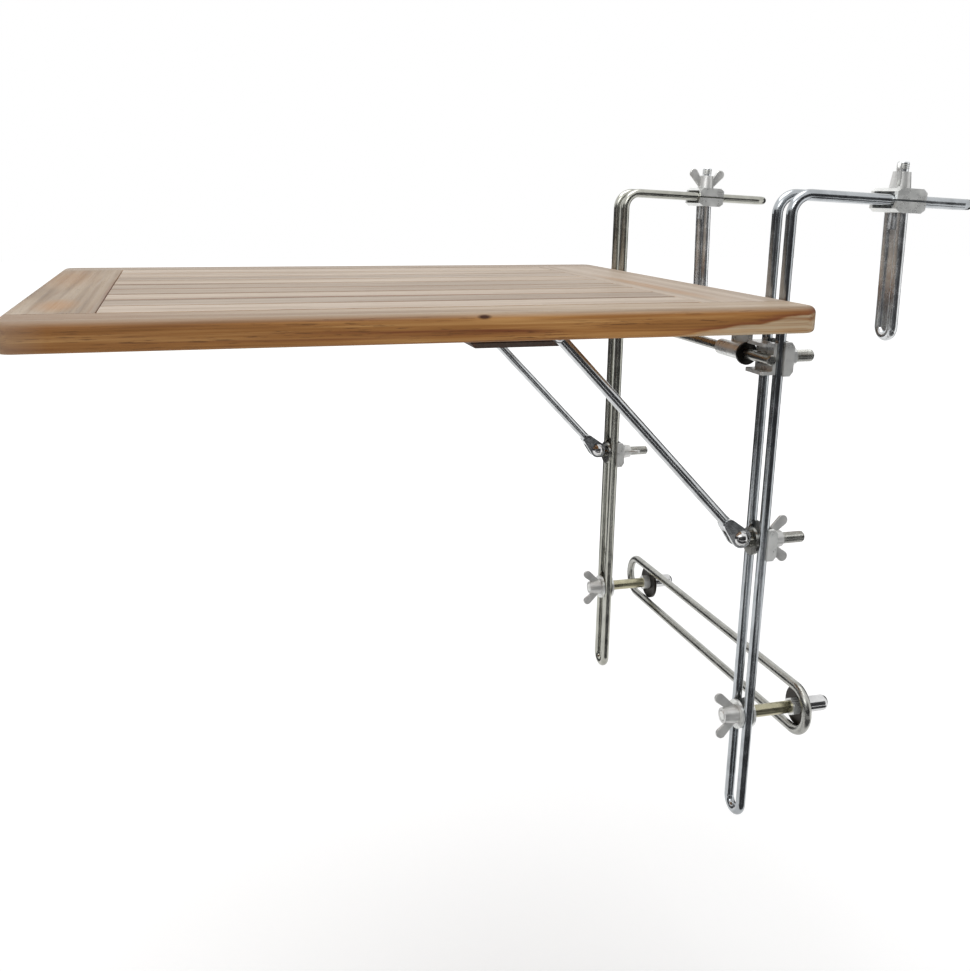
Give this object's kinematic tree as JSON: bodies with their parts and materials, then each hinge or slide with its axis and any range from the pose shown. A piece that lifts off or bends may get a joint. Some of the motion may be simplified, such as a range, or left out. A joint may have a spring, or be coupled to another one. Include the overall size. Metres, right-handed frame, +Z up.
{
  "type": "folding balcony table",
  "caption": "Folding balcony table: slatted wooden top hinged to wire hooks that hang over a railing, with folding struts, sliding clamps and a spacer loop.",
  "frame": {"origin": "midway between the two hooks, at the rail-side face of the legs, level with the underside of the arms over the middle of the rail", "axes": "+X over the railing and away from the tabletop, +Y to the left of someone seated at the table facing the railing, +Z up"},
  "size_m": [0.7865, 0.5, 0.6091],
  "materials": {
    "teak": "weathered, matt",
    "zinc_rod": "bright zinc plated",
    "zinc_hardware": "zinc plated",
    "bright_steel": "polished",
    "yellow_zinc": "yellow zinc plated",
    "dark_steel": "dark satin"
  },
  "bodies": {
    "hooks": {"hook_frame_right": "zinc_rod", "hook_frame_left": "zinc_rod"},
    "hinge_carriage": {"hinge_rod": "zinc_rod", "hinge_saddle_right": "zinc_hardware", "hinge_saddle_left": "zinc_hardware", "hinge_shoe_right": "zinc_hardware", "hinge_shoe_left": "zinc_hardware", "hinge_washers": "zinc_hardware", "hinge_nuts": "zinc_hardware"},
    "tabletop": {"end_board_free": "teak", "end_board_rail": "teak", "side_rail_right": "teak", "side_rail_left": "teak", "slat_1": "teak", "slat_2": "teak", "slat_3": "teak", "slat_4": "teak", "slat_5": "teak", "slat_6": "teak", "slat_7": "teak", "slat_8": "teak", "slat_9": "teak", "batten": "teak", "wood_screws": "bright_steel", "hinge_leaf_right": "zinc_hardware", "hinge_leaf_left": "zinc_hardware", "hinge_bushes": "dark_steel", "strut_pivot_screw_right": "bright_steel", "strut_pivot_screw_left": "bright_steel"},
    "spacer": {"spacer_loop": "zinc_rod", "spacer_bolts": "zinc_hardware", "spacer_washers": "zinc_hardware", "spacer_sleeves": "yellow_zinc", "spacer_nuts": "zinc_hardware", "spacer_plates": "dark_steel", "spacer_cap_nuts": "zinc_hardware"},
    "strut_right": {"strut_right": "zinc_rod", "strut_rivets_right": "bright_steel"},
    "eye_bolt_right": {"eye_bolt_right": "zinc_hardware", "strut_washer_right": "zinc_hardware", "strut_shoe_right": "zinc_hardware"},
    "strut_wing_nut_right": {"strut_wing_nut_right": "zinc_hardware"},
    "clamp_right": {"clamp_finger_right": "zinc_rod", "clamp_upper_shoe_right": "zinc_hardware", "clamp_lower_shoe_right": "zinc_hardware"},
    "clamp_wing_nut_right": {"clamp_wing_nut_right": "zinc_hardware"},
    "spacer_wing_nut_right": {"spacer_wing_nut_right": "zinc_hardware"},
    "strut_left": {"strut_left": "zinc_rod", "strut_rivets_left": "bright_steel"},
    "eye_bolt_left": {"eye_bolt_left": "zinc_hardware", "strut_washer_left": "zinc_hardware", "strut_shoe_left": "zinc_hardware"},
    "strut_wing_nut_left": {"strut_wing_nut_left": "zinc_hardware"},
    "clamp_left": {"clamp_finger_left": "zinc_rod", "clamp_upper_shoe_left": "zinc_hardware", "clamp_lower_shoe_left": "zinc_hardware"},
    "clamp_wing_nut_left": {"clamp_wing_nut_left": "zinc_hardware"},
    "spacer_wing_nut_left": {"spacer_wing_nut_left": "zinc_hardware"}
  },
  "joints": [
    {"name": "table_height", "type": "slide", "parent": "hooks", "child": "hinge_carriage", "axis": [0, 0, 1], "range_m": [-0.04, 0.04]},
    {"name": "table_fold", "type": "hinge", "parent": "hinge_carriage", "child": "tabletop", "pos_m": [-0.017, 0, -0.1297], "axis": [0, -1, 0], "range_deg": [0, 88]},
    {"name": "spacer_slide", "type": "slide", "parent": "hooks", "child": "spacer", "axis": [0, 0, 1], "range_m": [-0.06, 0.03]},
    {"name": "strut_swing_right", "type": "hinge", "parent": "tabletop", "child": "strut_right", "pos_m": [-0.201, -0.172, -0.1067], "axis": [0, -1, 0], "range_deg": [-133.24, 0]},
    {"name": "eye_bolt_slide_right", "type": "slide", "parent": "hooks", "child": "eye_bolt_right", "axis": [0, 0, 1], "range_m": [-0.04, 0.04]},
    {"name": "strut_wing_nut_turn_right", "type": "hinge", "parent": "eye_bolt_right", "child": "strut_wing_nut_right", "pos_m": [0.01, -0.172, -0.2962], "axis": [1, 0, 0], "continuous": true},
    {"name": "clamp_slide_right", "type": "slide", "parent": "hooks", "child": "clamp_right", "axis": [0.999, 0, -0.0436], "range_m": [-0.06, 0.045]},
    {"name": "clamp_wing_nut_turn_right", "type": "hinge", "parent": "clamp_right", "child": "clamp_wing_nut_right", "pos_m": [0.1039, -0.172, 0.00106], "axis": [0.0436, 0, 0.999], "continuous": true},
    {"name": "spacer_wing_nut_turn_right", "type": "hinge", "parent": "spacer", "child": "spacer_wing_nut_right", "pos_m": [-0.02, -0.172, -0.4687], "axis": [-1, 0, 0], "continuous": true},
    {"name": "strut_swing_left", "type": "hinge", "parent": "tabletop", "child": "strut_left", "pos_m": [-0.201, 0.172, -0.1067], "axis": [0, -1, 0], "range_deg": [-133.24, 0]},
    {"name": "eye_bolt_slide_left", "type": "slide", "parent": "hooks", "child": "eye_bolt_left", "axis": [0, 0, 1], "range_m": [-0.04, 0.04]},
    {"name": "strut_wing_nut_turn_left", "type": "hinge", "parent": "eye_bolt_left", "child": "strut_wing_nut_left", "pos_m": [0.01, 0.172, -0.2962], "axis": [1, 0, 0], "continuous": true},
    {"name": "clamp_slide_left", "type": "slide", "parent": "hooks", "child": "clamp_left", "axis": [0.999, 0, -0.0436], "range_m": [-0.05, 0.055]},
    {"name": "clamp_wing_nut_turn_left", "type": "hinge", "parent": "clamp_left", "child": "clamp_wing_nut_left", "pos_m": [0.0984, 0.172, 0.0013], "axis": [0.0436, 0, 0.999], "continuous": true},
    {"name": "spacer_wing_nut_turn_left", "type": "hinge", "parent": "spacer", "child": "spacer_wing_nut_left", "pos_m": [-0.02, 0.172, -0.4687], "axis": [-1, 0, 0], "continuous": true}
  ],
  "couplings": [
    {"joint": "strut_swing_right", "follows": "table_fold", "ratio": -1.5135},
    {"joint": "eye_bolt_slide_right", "follows": "table_height", "ratio": 1},
    {"joint": "strut_swing_left", "follows": "table_fold", "ratio": -1.5135},
    {"joint": "eye_bolt_slide_left", "follows": "table_height", "ratio": 1}
  ]
}
